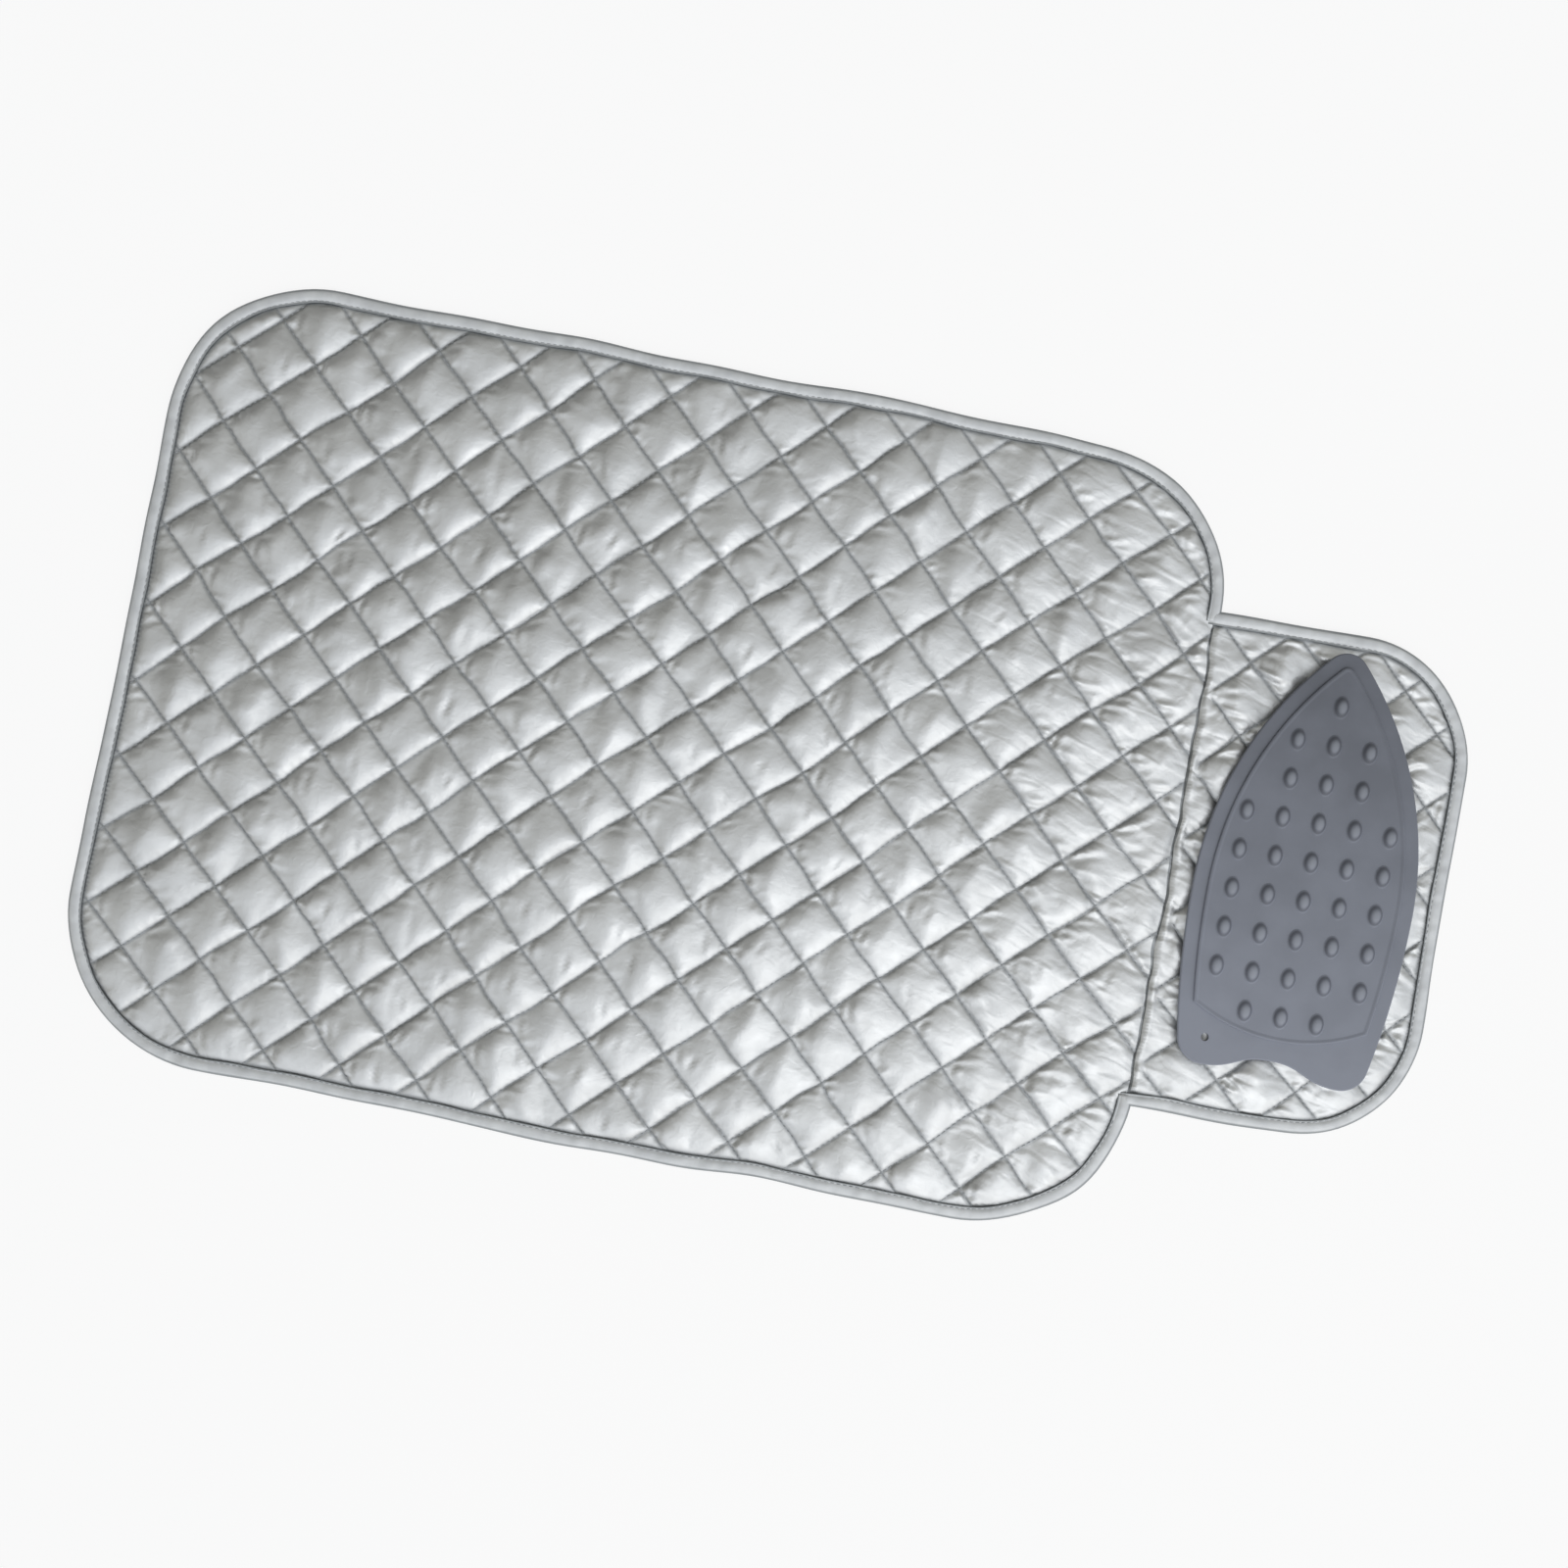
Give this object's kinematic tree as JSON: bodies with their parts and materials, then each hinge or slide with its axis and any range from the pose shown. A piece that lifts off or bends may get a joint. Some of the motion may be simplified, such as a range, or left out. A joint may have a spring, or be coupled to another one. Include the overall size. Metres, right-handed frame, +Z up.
{
  "type": "ironing pad",
  "caption": "Flat quilted ironing pad with rounded corners and bound edges, and a side wing that folds over the pad and carries a soleplate-shaped silicone iron rest.",
  "frame": {"origin": "under the middle of the pad laid flat, on the surface it lies on", "axes": "+X along the pad towards the wing, +Y across it towards the iron rest's tip, +Z up out of the ironing face"},
  "size_m": [0.85, 0.498, 0.0143],
  "materials": {
    "silver_cloth": "aluminium-coated satin cloth, diamond quilted",
    "wadding": "needled polyester felt",
    "backing_cloth": "plain woven cloth, quilted through",
    "binding_tape": "satin bias tape",
    "silicone": "matt moulded silicone"
  },
  "bodies": {
    "main_panel": {"main_cover": "silver_cloth", "main_wadding": "wadding", "main_backing": "backing_cloth", "main_binding_rear": "binding_tape", "main_binding_front": "binding_tape"},
    "fold_end": {"fold_end_cover": "silver_cloth", "fold_end_wadding": "wadding", "fold_end_backing": "backing_cloth", "fold_end_binding": "binding_tape"},
    "wing": {"wing_cover": "silver_cloth", "wing_wadding": "wadding", "wing_backing": "backing_cloth", "wing_binding": "binding_tape", "iron_rest": "silicone"}
  },
  "joints": [
    {"name": "storage_fold", "type": "hinge", "parent": "main_panel", "child": "fold_end", "pos_m": [-0.2125, 0, 0.0078], "axis": [0, 1, 0], "range_deg": [0, 180]},
    {"name": "wing_fold", "type": "hinge", "parent": "main_panel", "child": "wing", "pos_m": [0.25, 0, 0.01115], "axis": [0, -1, 0], "range_deg": [0, 180]}
  ]
}
